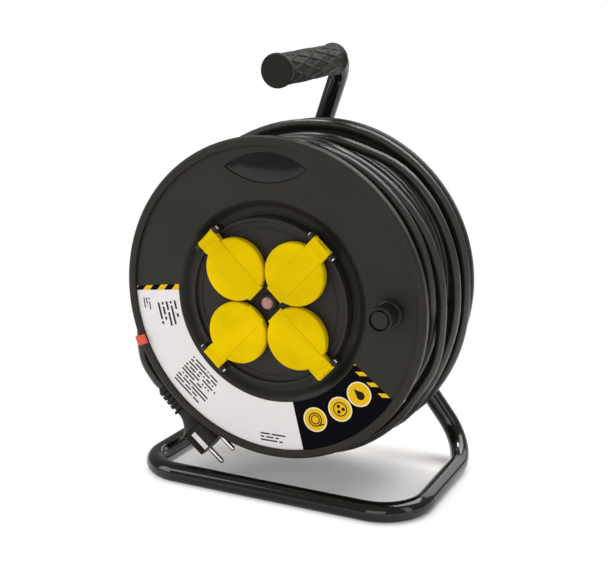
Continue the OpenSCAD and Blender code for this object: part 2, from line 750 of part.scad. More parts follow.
module lid_gasket(i) color("#d0bd18") at_socket(i) translate([socket_r, 0, 0])
    tube_between(gasket_foot, lid_under, lid_r - 3, well_r + 0.2);

// Winding knob, which turns on a headed pin through the flange
module knob_pin() color("#1b1c1e") on_drum() translate([knob_r, 0, 0]) {
    translate([0, 0, web_back + 0.2]) cylinder(r = knob_head_r - 0.4, h = 1.4);
    translate([0, 0, web_back + 0.2]) cylinder(r = knob_pin_r, h = knob_reach - 1 - web_back - 0.2);
    translate([0, 0, knob_reach - 1 - knob_head_t]) cylinder(r = knob_head_r, h = knob_head_t);
}

module winding_knob() color("#1b1c1e") on_drum() translate([knob_r, 0, 0]) difference() {
    rotate_extrude() polygon(concat(
        [[0, knob_seat + part_gap], [knob_or + 1, knob_seat + part_gap], [knob_or + 1, knob_seat + 2.2]],
        [[knob_or - 1.2, knob_seat + 4], [knob_or - 0.8, knob_reach - 4]],
        arc(knob_or - 2, knob_reach - 1.4, 1.4, 0, 90, 4),
        [[0, knob_reach]]
    ));
    cylinder(r = knob_pin_r + run_gap, h = 2 * knob_reach, center = true);
    translate([0, 0, knob_reach - 1 - knob_head_t - part_gap]) cylinder(r = knob_head_r + 0.8, h = knob_reach);
}

// Clip on the front rim
module cord_clip() color("#e0553f") on_drum() rotate([0, 0, 199.6]) translate([flange_r, 4.5, 0])
    rotate([90, 0, 0]) linear_extrude(9) polygon([
        [-9, part_gap],
        [part_gap, part_gap],
        [part_gap, -rim_depth - part_gap],
        [-6, -rim_depth - part_gap],
        [-6, -rim_depth - part_gap - 1.6],
        [part_gap + 1.6, -rim_depth - part_gap - 1.6],
        [part_gap + 1.6, part_gap + 1.6],
        [-9, part_gap + 1.6],
    ]);

// Cable and plug
module cable_core() color("#151617") on_drum() {
    rotate_extrude($fn = 128) polygon([
        [barrel_or + part_gap, barrel_front - part_gap],
        [dish_foot_r + 1.5, barrel_front - part_gap],
        [dish_top_r, web_back - part_gap],
        [core_r, web_back - part_gap],
        [core_r, rear_face + part_gap],
        [barrel_or + part_gap, rear_face + part_gap],
    ]);
    rotate([0, 0, layer_end]) translate([layer_rear_r - climb_r, -cable_d, layer_rear_z]) rotate([0, 0, -climb_sweep])
        rotate_extrude(angle = climb_sweep) translate([climb_r, 0]) circle(d = cable_d);
}

module cable_outer_layer() color("#151617") on_drum() swept_tube(layer_path, cable_d, 6, [0, 0, 1]);

module lead_cable() color("#151617") on_drum() swept_tube(lead_path, cable_d, 10, [0, 0, 1]);

// Strain relief: thick ribs that grow towards the plug
module plug_relief() color("#1c1d1f") on_plug() rotate_extrude() polygon(concat(
    [[0, -plug_body_len - relief_len], [cable_r + 1.2, -plug_body_len - relief_len]],
    [for (k = [0 : relief_ribs - 1])
        let (z = -plug_body_len - relief_len + 2.4 + relief_pitch * k, r = relief_r + 0.35 * k)
        each [[r - 1.9, z], [r - 0.4, z + 0.1], [r, z + 0.6], [r, z + 3.2], [r - 0.4, z + 3.7], [r - 1.9, z + 3.8]]],
    [[relief_r - 0.6, -plug_body_len], [0, -plug_body_len]]
));

// Plug: a thin collar, a neck that opens like a bell, and the straight head
module plug_body() color("#1c1d1f") on_plug() difference() {
    rotate_extrude() polygon(concat(
        [[0, -plug_body_len], [relief_r + 1.2, -plug_body_len]],
        arc(relief_r + 1.4, -plug_body_len + 0.9, 0.9, -90, 90, 4),
        [for (t = [0 : 8]) let (u = t / 8)
            [relief_r - 0.2 + (plug_bell_r - relief_r + 0.2) * pow(u, 2.2), -plug_body_len + 2.4 + 20.4 * u]],
        [[plug_bell_r, 0], [plug_bell_r - 0.5, 0.5], [plug_head_r, 0.5]],
        arc(plug_head_r - 1, plug_head_len - 1, 1, 0, 90, 3),
        [[0, plug_head_len]]
    ));
    for (s = [-1, 1]) {
        translate([s * (plug_head_r - 0.9), 0, plug_head_len - 9]) cube([2.6, 7, 20], center = true);
        translate([0, s * contact_pitch / 2, plug_head_len - 8]) cylinder(r = pin_collar_r + 0.05, h = 10);
        translate([0, s * (plug_head_r + 1), 4]) cube([8, 6, 4], center = true);
    }
}

module plug_pins() color("#d4d6d8") on_plug() for (s = [-1, 1])
    translate([0, s * contact_pitch / 2, plug_head_len]) rotate_extrude() polygon(concat(
        [[0, 0.05 - 8], [pin_collar_r, 0.05 - 8], [pin_collar_r, 0], [plug_pin_r, 0]],
        arc(0, plug_pin_len - plug_pin_r, plug_pin_r, 0, 90, 6)
    ));

module plug_earth_strips() color("#d4d6d8") on_plug() for (s = [-1, 1])
    translate([s * (plug_head_r - 1.65), 0, plug_head_len - 9]) cube([0.9, 5.4, 18.4], center = true);

frame_tube();
handle_grip();
axle_spindle();
saddle_washers();
axle_washer();
axle_nut();
thrust_washer();
circlip();
front_flange();
rear_flange();
drum_barrel();
rear_bush();
flange_screws();
socket_plate();
plate_gasket();
plate_screws();
contact_sleeves();
breaker_body();
breaker_bezel();
button_spring();
terminal_block();
cord_inlet();
knob_pin();
cord_clip();
for (i = [1 : 4]) socket_insert(i);
for (i = [1 : 4]) earth_clips(i);
for (i = [1 : 4]) lid_pin(i);
for (i = [1 : 4]) lid_spring(i);
for (i = [1 : 4]) lid(i);
for (i = [1 : 4]) lid_gasket(i);
winding_knob();
reset_button();
cable_core();
cable_outer_layer();
lead_cable();
plug_relief();
plug_body();
plug_pins();
plug_earth_strips();
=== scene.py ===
"""Looks of an extension cord reel: cable, grip, lids, label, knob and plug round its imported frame."""

import math

import bpy
from mathutils import Matrix, Vector


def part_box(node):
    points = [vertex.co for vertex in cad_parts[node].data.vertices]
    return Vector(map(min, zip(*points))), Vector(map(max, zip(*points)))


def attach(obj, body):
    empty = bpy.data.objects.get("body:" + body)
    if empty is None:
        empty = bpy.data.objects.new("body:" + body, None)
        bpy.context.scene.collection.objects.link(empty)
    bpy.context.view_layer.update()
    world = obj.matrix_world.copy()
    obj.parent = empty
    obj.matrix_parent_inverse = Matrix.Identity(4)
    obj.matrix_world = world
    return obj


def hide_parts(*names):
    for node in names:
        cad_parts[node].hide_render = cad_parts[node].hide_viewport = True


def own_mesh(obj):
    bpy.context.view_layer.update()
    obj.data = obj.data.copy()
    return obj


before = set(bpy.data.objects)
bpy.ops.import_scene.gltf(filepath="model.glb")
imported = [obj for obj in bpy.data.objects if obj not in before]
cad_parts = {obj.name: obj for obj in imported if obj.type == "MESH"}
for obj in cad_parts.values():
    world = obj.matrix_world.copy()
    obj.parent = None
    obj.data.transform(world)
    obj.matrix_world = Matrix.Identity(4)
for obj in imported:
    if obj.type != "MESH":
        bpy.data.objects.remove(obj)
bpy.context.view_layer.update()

bl_info = {
    "name": "Extension cord reel",
    "version": (1, 0, 0),
    "blender": (4, 5, 0),
    "location": "View3D > Sidebar > Reel",
    "description": "Builds the looks of a cable drum on a tube stand round its packed frame",
    "category": "Object",
}

MM = 0.001
WELD = 1e-6
FLANGE_LOW, FLANGE_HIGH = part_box("front_flange")
FACE_Y = FLANGE_LOW.y
AXLE_Z = (FLANGE_LOW.z + FLANGE_HIGH.z) / 2
FLANGE_R = (FLANGE_HIGH.x - FLANGE_LOW.x) / 2 / MM
SOCKETS = (1, 2, 3, 4)


def turned(degrees, axis):
    return Matrix.Rotation(math.radians(degrees), 4, axis)


def moved(x, y, z):
    """A move in millimetres."""
    return Matrix.Translation((x * MM, y * MM, z * MM))


# The drum's face: x right, y up, z towards the viewer, from the axle in the front rim's plane
FACE = Matrix.Translation((0, FACE_Y, AXLE_Z)) @ turned(90, "X")
DRUM_TURN = 2
DRUM = FACE @ turned(DRUM_TURN, "Z")

# Places on the drum in millimetres, and angles in degrees
SOCKET_R = 40.6
KNOB_R = 112
CLIP_ANGLE = 199.6
PLUG_PLACE = (160.2, 236, -20.5)
PLUG_HEADING = 318
RELIEF_END = 50


def at_socket(number):
    """Place of a socket's middle, with x along its lid towards the hinge."""
    return DRUM @ turned(90 * number - 45, "Z") @ moved(SOCKET_R, 0, 0)


def polar(radius, degrees, z):
    """A point on the drum's face, in millimetres."""
    a = math.radians(degrees)
    return Vector((radius * math.cos(a), radius * math.sin(a), z))


def at_plug():
    """Place of the plug's middle, with z along its axis towards the pins."""
    return DRUM @ moved(*polar(*PLUG_PLACE)) @ turned(PLUG_HEADING, "Z") @ turned(90, "Y")


class ReelSizes(bpy.types.PropertyGroup):
    """Sizes of the pieces that are modelled round the frame."""

    cable_width: bpy.props.FloatProperty(
        name="Cable", description="Diameter of the cable", default=0.009, unit="LENGTH"
    )
    cable_length: bpy.props.FloatProperty(
        name="Cable length", description="Length of the whole cable", default=40.0, unit="LENGTH"
    )
    ridge_height: bpy.props.FloatProperty(
        name="Grip ridges", description="Height of the ridges on the grip", default=0.0011, unit="LENGTH"
    )
    edge_round: bpy.props.FloatProperty(
        name="Edge rounding", description="Rounding of moulded edges", default=0.0005, unit="LENGTH"
    )
    label_inner: bpy.props.FloatProperty(
        name="Label inner radius", description="Inner radius of the label", default=0.0923, unit="LENGTH"
    )
    label_outer: bpy.props.FloatProperty(
        name="Label outer radius", description="Outer radius of the label", default=0.1369, unit="LENGTH"
    )


def colour_prop(name, description, rgb):
    return bpy.props.FloatVectorProperty(
        name=name, description=description, default=rgb, size=3, min=0.0, max=1.0, subtype="COLOR"
    )


class ReelColours(bpy.types.PropertyGroup):
    """Colours of the reel's finishes."""

    plastic: colour_prop("Plastic", "Black moulded plastic of the drum", (0.0206, 0.0185, 0.0148))
    lid: colour_prop("Lids", "Yellow plastic of the lids", (0.745, 0.52, 0.0008))
    cable: colour_prop("Cable", "Rubber of the cable", (0.0130, 0.0115, 0.0078))
    tube: colour_prop("Tube", "Paint of the stand", (0.0055, 0.0050, 0.0038))
    grip: colour_prop("Grip", "Rubber of the grip", (0.0088, 0.0075, 0.0046))
    button: colour_prop("Button", "Reset button", (0.42, 0.20, 0.195))
    clip: colour_prop("Clip", "Clip on the rim", (0.72, 0.10, 0.055))
    paper: colour_prop("Label", "Paper of the label", (0.793, 0.766, 0.772))
    sign: colour_prop("Sign", "Yellow of the label's discs and stripes", (0.78, 0.48, 0.012))


# Modelling


def deselect():
    if bpy.context.mode != "OBJECT":
        bpy.ops.object.mode_set(mode="OBJECT")
    bpy.ops.object.select_all(action="DESELECT")


def begin_point(name):
    """A new mesh of one vertex at the origin, in edit mode."""
    deselect()
    bpy.ops.mesh.primitive_plane_add(size=MM)
    piece = bpy.context.active_object
    piece.name = piece.data.name = name
    bpy.ops.object.mode_set(mode="EDIT")
    bpy.ops.mesh.select_all(action="SELECT")
    bpy.ops.mesh.merge(type="CENTER")
    return piece


def trace(points):
    """Extrudes the chosen vertex along points, in millimetres."""
    last = Vector(points[0]) * MM
    bpy.ops.transform.translate(value=last)
    for point in points[1:]:
        point = Vector(point) * MM
        bpy.ops.mesh.extrude_vertices_move(TRANSFORM_OT_translate={"value": point - last})
        last = point


def close_mesh():
    """Welds the mesh, turns its faces outwards and leaves edit mode."""
    bpy.ops.mesh.select_all(action="SELECT")
    bpy.ops.mesh.remove_doubles(threshold=WELD)
    bpy.ops.mesh.normals_make_consistent(inside=False)
    bpy.ops.object.mode_set(mode="OBJECT")


def lathe(name, profile, steps):
    """Spins a profile of (radius, height) about z."""
    piece = begin_point(name)
    trace([(r, 0, z) for r, z in profile])
    bpy.ops.mesh.select_all(action="SELECT")
    bpy.ops.mesh.spin(steps=steps, angle=math.tau, center=(0, 0, 0), axis=(0, 0, 1))
    close_mesh()
    return piece


def slab(name, outline, low, high):
    """A closed outline of (x, y) raised from low to high."""
    piece = begin_point(name)
    trace([(x, y, low) for x, y in [*outline, outline[0]]])
    bpy.ops.mesh.select_all(action="SELECT")
    bpy.ops.mesh.remove_doubles(threshold=WELD)
    bpy.ops.mesh.edge_face_add()
    bpy.ops.mesh.extrude_region_move(TRANSFORM_OT_translate={"value": (0, 0, (high - low) * MM)})
    close_mesh()
    return piece


def block(name, size, middle):
    """A box that is shaped further by bevels and booleans."""
    deselect()
    bpy.ops.mesh.primitive_cube_add(size=1)
    piece = bpy.context.active_object
    piece.name = piece.data.name = name
    bpy.ops.object.mode_set(mode="EDIT")
    bpy.ops.mesh.select_all(action="SELECT")
    bpy.ops.transform.resize(value=Vector(size) * MM)
    bpy.ops.transform.translate(value=Vector(middle) * MM)
    bpy.ops.object.mode_set(mode="OBJECT")
    return piece


def pick(piece):
    deselect()
    piece.select_set(True)
    bpy.context.view_layer.objects.active = piece


def apply_modifier(piece, kind, **settings):
    pick(piece)
    modifier = piece.modifiers.new(kind.title(), kind)
    for key, value in settings.items():
        setattr(modifier, key, value)
    bpy.ops.object.modifier_apply(modifier=modifier.name)


def soften(piece, width, segments=3, angle=35):
    """Rounds the edges that are sharper than angle."""
    apply_modifier(
        piece, "BEVEL", width=width, segments=segments, limit_method="ANGLE",
        angle_limit=math.radians(angle), use_clamp_overlap=True,
    )


def combine(piece, other, operation):
    """Joins, cuts or crosses piece with other, which is used up."""
    apply_modifier(piece, "BOOLEAN", object=other, operation=operation, solver="EXACT")
    bpy.data.objects.remove(other)


def shade(piece, angle):
    pick(piece)
    bpy.ops.object.shade_smooth_by_angle(angle=math.radians(angle))


def place(piece, matrix):
    """Puts a piece where it belongs, with its place in its mesh."""
    pick(piece)
    piece.matrix_world = matrix
    bpy.ops.object.transform_apply(location=True, rotation=True, scale=True)


def dress(piece, material, body, slot, *nodes):
    """Gives a piece its finish and the body it rides on, and hides the nodes that it stands for; its slot is
    not used.
    """
    piece.data.materials.clear()
    piece.data.materials.append(material)
    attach(piece, body)
    if nodes:
        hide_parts(*nodes)


def arc(cx, cy, r, start, end, steps):
    angles = [math.radians(start + (end - start) * k / steps) for k in range(steps + 1)]
    return [(cx + r * math.cos(a), cy + r * math.sin(a)) for a in angles]


# Finishes


class Finish:
    """A material of one Principled shader, patterned in Object coordinates."""

    def __init__(self, name, colour, roughness, shine=0.5, **sockets):
        self.material = bpy.data.materials.new(name)
        self.material.use_nodes = True
        self.tree = self.material.node_tree
        self.shader = self.tree.nodes["Principled BSDF"]
        self.shader.inputs["Base Color"].default_value = (*colour, 1)
        self.shader.inputs["Roughness"].default_value = roughness
        self.shader.inputs["Specular IOR Level"].default_value = shine
        for key, value in sockets.items():
            self.shader.inputs[key.replace("_", " ").title()].default_value = value
        self.coords = self.node("TexCoord").outputs["Object"]
        self.normal = None

    def node(self, kind, **settings):
        made = self.tree.nodes.new("ShaderNode" + kind)
        for key, value in settings.items():
            setattr(made, key, value)
        return made

    def put(self, socket, value):
        if isinstance(value, bpy.types.NodeSocket):
            self.tree.links.new(value, socket)
        else:
            socket.default_value = value

    def math(self, operation, a, b=0.0, c=0.0):
        made = self.node("Math", operation=operation)
        for socket, value in zip(made.inputs, (a, b, c)):
            self.put(socket, value)
        return made.outputs[0]

    def stretched(self, scale):
        made = self.node("Mapping")
        self.put(made.inputs["Vector"], self.coords)
        made.inputs["Scale"].default_value = scale
        return made.outputs[0]

    def noise(self, scale, detail, coords=None):
        made = self.node("TexNoise")
        self.put(made.inputs["Vector"], coords or self.coords)
        made.inputs["Scale"].default_value = scale
        made.inputs["Detail"].default_value = detail
        return made.outputs[0]

    def between(self, value, low, high, out_low, out_high):
        made = self.node("MapRange")
        for socket, x in zip(made.inputs, (value, low, high, out_low, out_high)):
            self.put(socket, x)
        return made.outputs[0]

    def blend(self, factor, a, b):
        made = self.node("Mix", data_type="RGBA")
        self.put(made.inputs[0], factor)
        for socket, value in ((made.inputs[6], a), (made.inputs[7], b)):
            self.put(socket, value if isinstance(value, bpy.types.NodeSocket) else (*value, 1))
        return made.outputs[2]

    def colour(self, value):
        self.put(self.shader.inputs["Base Color"], value)

    def roughness(self, value):
        self.put(self.shader.inputs["Roughness"], value)

    def mottle(self, scale, detail, dark, pale):
        """Drifts the colour between two shades."""
        self.colour(self.blend(self.between(self.noise(scale, detail), 0.3, 0.7, 0, 1), dark, pale))

    def uneven(self, scale, detail, low, high):
        """Drifts the roughness between two values."""
        self.roughness(self.between(self.noise(scale, detail), 0.3, 0.7, low, high))

    def bump(self, height, distance, strength):
        made = self.node("Bump")
        made.inputs["Strength"].default_value = strength
        made.inputs["Distance"].default_value = distance
        self.put(made.inputs["Height"], height)
        if self.normal:
            self.put(made.inputs["Normal"], self.normal)
        self.normal = made.outputs[0]
        self.put(self.shader.inputs["Normal"], self.normal)

    def axes(self):
        made = self.node("SeparateXYZ")
        self.put(made.inputs[0], self.coords)
        return made.outputs

    def length(self, x, y):
        return self.math("SQRT", self.math("MULTIPLY_ADD", x, x, self.math("MULTIPLY", y, y)))

    def within(self, value, low, high):
        above = self.math("GREATER_THAN", value, low)
        return self.math("MULTIPLY", above, self.math("LESS_THAN", value, high))

    def along(self, x, y, point, degrees):
        """Coordinates along and across a direction, from a point."""
        c, s = math.cos(math.radians(degrees)), math.sin(math.radians(degrees))
        dx, dy = self.math("SUBTRACT", x, point[0]), self.math("SUBTRACT", y, point[1])
        forward = self.math("MULTIPLY_ADD", dx, c, self.math("MULTIPLY", dy, s))
        return forward, self.math("MULTIPLY_ADD", dy, c, self.math("MULTIPLY", dx, -s))


def scaled(colour, factor):
    return tuple(min(1.0, c * factor) for c in colour)


def moulded(name, colour, roughness=0.46, grain=1400, depth=0.00003, shine=0.225):
    """Moulded plastic: a fine grain, faint flow clouds and uneven gloss."""
    made = Finish(name, colour, roughness, shine)
    made.mottle(26, 4, scaled(colour, 0.88), scaled(colour, 1.12))
    made.uneven(70, 4, roughness - 0.05, roughness + 0.06)
    made.bump(made.noise(grain, 2), depth, 0.35)
    made.bump(made.noise(220, 2), depth, 0.12)
    return made.material


def painted(name, colour):
    """Gloss powder coat with a slight orange peel and dust in it."""
    made = Finish(name, colour, 0.1, 0.42, coat_weight=0.25, coat_roughness=0.05)
    specks = made.between(made.noise(1500, 1), 0.66, 0.78, 0, 1)
    made.colour(made.blend(specks, colour, scaled(colour, 1.8)))
    made.uneven(60, 4, 0.07, 0.13)
    made.bump(made.noise(420, 2), 0.00006, 0.3)
    return made.material


def rubbery(name, colour, roughness=0.5, grain=1100, shine=0.35):
    """Soft black rubber with a dusty bloom."""
    made = Finish(name, colour, roughness, shine)
    bloom = made.between(made.noise(34, 5), 0.35, 0.75, 0, 1)
    made.colour(made.blend(bloom, scaled(colour, 0.85), scaled(colour, 1.35)))
    made.uneven(90, 4, roughness - 0.06, roughness + 0.08)
    made.bump(made.noise(grain, 3), 0.00005, 0.3)
    return made.material


def metal(name, colour, roughness, brushed=(1, 1, 1)):
    """Plated metal with fine drawn lines and faint stains."""
    made = Finish(name, colour, roughness, metallic=1.0)
    made.mottle(120, 4, scaled(colour, 0.85), scaled(colour, 1.05))
    lines = made.noise(900, 2, made.stretched(brushed))
    made.roughness(made.between(lines, 0.3, 0.7, max(0.05, roughness - 0.08), roughness + 0.1))
    made.bump(lines, 0.00003, 0.15)
    return made.material


# Shared finishes made so far
FINISHES = {}


def finish(name):
    """One of the reel's shared finishes, made on first use."""
    if name not in FINISHES:
        colours = bpy.context.scene.reel_colours
        makers = {
            "plastic": lambda: moulded("black_moulded_plastic", colours.plastic),
            "knob": lambda: moulded("black_knob_plastic", scaled(colours.plastic, 0.8), 0.3),
            "lid": lambda: moulded("yellow_lid_plastic", colours.lid, 0.45, 1700, 0.000025, 0.015),
            "tube": lambda: painted("black_tube_paint", colours.tube),
            "grip": lambda: rubbery("grip_rubber", colours.grip, 0.6, 1100, 0.22),
            "cable": lambda: rubbery("cable_rubber", colours.cable, 0.36, 900, 0.6),
            "plug": lambda: rubbery("plug_rubber", scaled(colours.cable, 0.9), 0.5, 1100, 0.25),
            "gasket": lambda: rubbery("gasket_rubber", (0.04, 0.04, 0.04), 0.6),
            "zinc": lambda: metal("zinc_plated_steel", (0.62, 0.61, 0.58), 0.32, (1, 6, 1)),
            "bright": lambda: metal("bright_steel", (0.78, 0.78, 0.77), 0.16, (6, 1, 1)),
            "nickel": lambda: metal("nickel_contacts", (0.72, 0.70, 0.66), 0.2, (1, 1, 5)),
            "brass": lambda: metal("contact_brass", (0.72, 0.52, 0.2), 0.28),
            "bush": lambda: moulded("pale_bush_plastic", (0.62, 0.61, 0.56), 0.5),
            "clip": lambda: moulded("red_clip_plastic", colours.clip, 0.42),
        }
        FINISHES[name] = makers[name]()
    return FINISHES[name]


# Stage


CAMERA_AZIMUTH, CAMERA_ELEVATION, CAMERA_DISTANCE = 25.3, 15.43, 1.12
CAMERA_TARGET = Vector((0.0149, FACE_Y + 0.040, 0.1933))
FOCAL_PIXELS, IMAGE_WIDTH, SENSOR_WIDTH = 1257, 608, 36
# Half sides of the floor inside the stand's loop, how far from it the floor turns white, and the share of
# painted white glow that lightens the floor's shadows inside the loop
LOOP_HALVES = {"X": 0.096, "Y": 0.0425}
WHITE_FROM, WHITE_TO, SHADOW_LIFT_GLOW = 0.042, 0.057, 0.1
AIR_LIGHT = 0.3
LIGHTS_AIM = Vector((0, 0, 0.2))
LIGHTS = (
    # name, place, size, power
    ("top_softbox", (0.4, 0.65, 1.5), (1.2, 1.0), 19),
    ("top_spark", (-0.35, 0.2, 1.5), (0.4, 0.4), 12),
    ("left_softbox", (-1.4, -1.2, 1.0), (1.0, 1.3), 13),
    ("right_strip", (1.6, -0.4, 0.8), (0.4, 1.4), 3),
    ("front_fill", (0.5, -2.3, 0.8), (1.6, 1.2), 11),
    ("rear_fill", (0.4, 2.0, 1.0), (1.6, 1.2), 9),
)


class REEL_OT_stage(bpy.types.Operator):
    """Sets up the camera, the soft studio light and the pale floor"""

    bl_idname = "reel.stage"
    bl_label = "Stage"

    def execute(self, context):
        scene = context.scene
        scene.view_settings.view_transform = "Standard"
        self.add_camera(scene)
        self.add_floor()
        self.add_lights()
        self.add_world(scene)
        return {"FINISHED"}

    def add_camera(self, scene):
        az, el = math.radians(CAMERA_AZIMUTH), math.radians(CAMERA_ELEVATION)
        way = Vector((math.cos(el) * math.sin(az), -math.cos(el) * math.cos(az), math.sin(el)))
        data = bpy.data.cameras.new("photo_camera")
        data.sensor_width = SENSOR_WIDTH
        data.lens = FOCAL_PIXELS * data.sensor_width / IMAGE_WIDTH
        data.clip_start = 0.05
        camera = bpy.data.objects.new("photo_camera", data)
        scene.collection.objects.link(camera)
        camera.location = CAMERA_TARGET + CAMERA_DISTANCE * way
        camera.rotation_euler = (-way).to_track_quat("-Z", "Y").to_euler()
        scene.camera = camera

    def add_floor(self):
        deselect()
        bpy.ops.mesh.primitive_plane_add(size=12)
        floor = bpy.context.active_object
        floor.name = "studio_floor"
        made = Finish("studio_paper", (0.9, 0.9, 0.9), 0.8, 0.1)
        made.mottle(3, 2, (0.91, 0.885, 0.865), (0.93, 0.905, 0.885))
        self.fade_to_white(made)
        floor.data.materials.append(made.material)

    def fade_to_white(self, made):
        """A little way outside the stand, the floor that the camera sees is plain white; inside the loop a
        faint painted white glow lightens the floor's shadows.
        """
        axes, beyond = made.axes(), []
        for axis, half in LOOP_HALVES.items():
            side = made.math("SUBTRACT", made.math("ABSOLUTE", axes[axis]), half)
            beyond.append(made.math("MAXIMUM", side, 0.0))
        away = made.node("MapRange", interpolation_type="SMOOTHSTEP")
        made.put(away.inputs["Value"], made.length(*beyond))
        away.inputs["From Min"].default_value = WHITE_FROM
        away.inputs["From Max"].default_value = WHITE_TO
        # Inside the loop a faint painted white glow stays, which lightens the floor's shadows there
        away.inputs["To Min"].default_value = SHADOW_LIFT_GLOW
        paths = made.node("LightPath")
        white = made.node("Emission")
        mix = made.node("MixShader")
        made.put(mix.inputs[0], made.math("MULTIPLY", paths.outputs["Is Camera Ray"], away.outputs[0]))
        made.put(mix.inputs[1], made.shader.outputs[0])
        made.put(mix.inputs[2], white.outputs[0])
        made.put(made.tree.nodes["Material Output"].inputs["Surface"], mix.outputs[0])

    def add_lights(self):
        for name, spot, size, power in LIGHTS:
            data = bpy.data.lights.new(name, "AREA")
            data.shape = "RECTANGLE"
            data.size, data.size_y = size
            data.energy = power
            lamp = bpy.data.objects.new(name, data)
            bpy.context.scene.collection.objects.link(lamp)
            lamp.location = spot
            lamp.rotation_euler = (LIGHTS_AIM - Vector(spot)).to_track_quat("-Z", "Y").to_euler()

    def add_world(self, scene):
        world = bpy.data.worlds.new("studio_air")
        world.use_nodes = True
        scene.world = world
        tree = world.node_tree
        background = tree.nodes["Background"]
        background.inputs["Color"].default_value = (1, 1, 1, 1)
        paths = tree.nodes.new("ShaderNodeLightPath")
        strength = tree.nodes.new("ShaderNodeMapRange")
        tree.links.new(paths.outputs["Is Camera Ray"], strength.inputs["Value"])
        strength.inputs["To Min"].default_value = AIR_LIGHT
        strength.inputs["To Max"].default_value = 1.0
        tree.links.new(strength.outputs[0], background.inputs["Strength"])


# Cable


LAYERS = (
    # radius, first depth, last depth, turns
    (86.3, -28.0, -116.5, 9),
    (95.2, -116.5, -12.0, 11),
    (104.2, -12.0, -116.5, 11),
    (113.1, -116.5, -12.0, 11),
    (122.0, -12.0, -116.5, 11),
)
TURN_STEPS, SEEN_TURN_STEPS, CLIMB_STEPS = 24, 48, 8
# Angles in degrees: the climb between layers, the cable's way in, and where the last turn leaves the drum
CLIMB = 73
INLET_ANGLE = 160
OUTER_END = 165
# The loose outer turns sag under the drum: stations round it, then each turn's radii and depths there
STATIONS = (165, 210, 245, 262, 280, 303, 320, 336, 350, 360, 385, 408, 426, 450, 470, 490, 508)
LOOSE_TURNS = (
    (
        (136, 142, 150, 153, 155, 155, 149.5, 145.3, 141.5,
         140.2, 140.2, 140.2, 140.2, 140.3, 143.6, 146, 143),
        (-113, -116.5, -119, -121, -121, -121, -119, -117, -117,
         -117, -117, -117, -117, -116.5, -111, -100, -95),
    ),
    (
        (140, 141, 145, 150, 154.5, 154.5, 147, 142.8, 141.2,
         140.2, 139.9, 138.9, 132.5, 131.4, 131.6, 132, 133),
        (-93, -92, -91, -90, -90, -90, -90, -90, -90, -90, -90, -91, -94, -95, -92, -85, -77),
    ),
    (
        (134, 138, 143, 150, 156, 151.5, 145.5, 144.3, 140,
         138.5, 136, 133, 131.5, 131.3, 131.5, 132, 132.5),
        (-70, -65, -60, -58, -57, -57, -57, -57, -57, -57, -57, -57, -60, -74, -71, -65, -59),
    ),
    (
        (133, 136, 139, 140, 140, 138, 134, 131.5, 131.4,
         131.6, 132.2, 131.8, 131.5, 131.4, 131.8, 132.2, 132.4),
        (-54, -52, -50, -50, -52, -58, -64, -67, -60, -50, -46.5, -46.5, -48, -53, -42, -29, -21),
    ),
)
OUTER_TAIL = (132.4, -18.0)
LEAD_ROUTE = (
    (-137.8, -2, -19.5), (-142.7, -20.7, -20.6), (-146.5, -39.5, -21.2), (-147.6, -58.7, -21.3),
    (-144.2, -77.6, -20.8),
)


def smooth(t):
    t = min(1.0, max(0.0, t))
    return t * t * (3 - 2 * t)


def wound_layers():
    """Points of the full layers and the climbs between them, as (radius, angle, depth)."""
    points, angle = [], float(INLET_ANGLE)
    starts = [*(layer[:2] for layer in LAYERS), [row[0] for row in LOOSE_TURNS[0]]]
    for layer, (next_radius, next_depth) in zip(LAYERS, starts[1:]):
        radius, first, last, turns = layer
        steps = turns * (SEEN_TURN_STEPS if layer is LAYERS[-1] else TURN_STEPS)
        for n in range(steps):
            u = n / steps
            points.append((radius, angle + 360 * turns * u, first + (last - first) * u))
        angle += 360 * turns
        for n in range(CLIMB_STEPS):
            u = smooth(n / CLIMB_STEPS)
            rising, going = radius + (next_radius - radius) * u, last + (next_depth - last) * u
            points.append((rising, angle + CLIMB * n / CLIMB_STEPS, going))
        angle += CLIMB
    return points, angle


def eased(keys, at, column):
    """Value of a column of keys at a place between them, without a kink at any key."""
    k = max(n for n, key in enumerate(keys[:-1]) if key[0] <= at)
    a, b = keys[k], keys[k + 1]
    before, after = keys[max(k - 1, 0)], keys[min(k + 2, len(keys) - 1)]
    span = b[0] - a[0]
    slope_a = (b[column] - before[column]) / (b[0] - before[0]) * span
    slope_b = (after[column] - a[column]) / (after[0] - a[0]) * span
    t = (at - a[0]) / span
    rise = b[column] - a[column]
    bend, twist = 3 * rise - 2 * slope_a - slope_b, slope_a + slope_b - 2 * rise
    return a[column] + t * (slope_a + t * (bend + t * twist))


def loose_layer(angle):
    """Points of the loose outer turns."""
    keys = [
        (360 * turn + station - STATIONS[0], radius, depth)
        for turn, rows in enumerate(LOOSE_TURNS)
        for station, radius, depth in zip(STATIONS, *rows)
    ]
    keys.append((360 * len(LOOSE_TURNS), *OUTER_TAIL))
    places = [keys[-1][0] * n / 360 for n in range(361)]
    return [(eased(keys, a, 1), angle + a, eased(keys, a, 2)) for a in places]


def rounded_route(points, per_span=8):
    """A smooth curve through points, straight in direction at both ends."""
    ends = [2 * points[0] - points[1], *points, 2 * points[-1] - points[-2]]
    made = []
    for a, b, c, d in zip(ends, ends[1:], ends[2:], ends[3:]):
        bend, twist = 2 * a - 5 * b + 4 * c - d, 3 * b - a - 3 * c + d
        for n in range(per_span):
            t = n / per_span
            made.append(0.5 * (2 * b + (c - a) * t + bend * t * t + twist * t ** 3))
    return [*made, points[-1]]


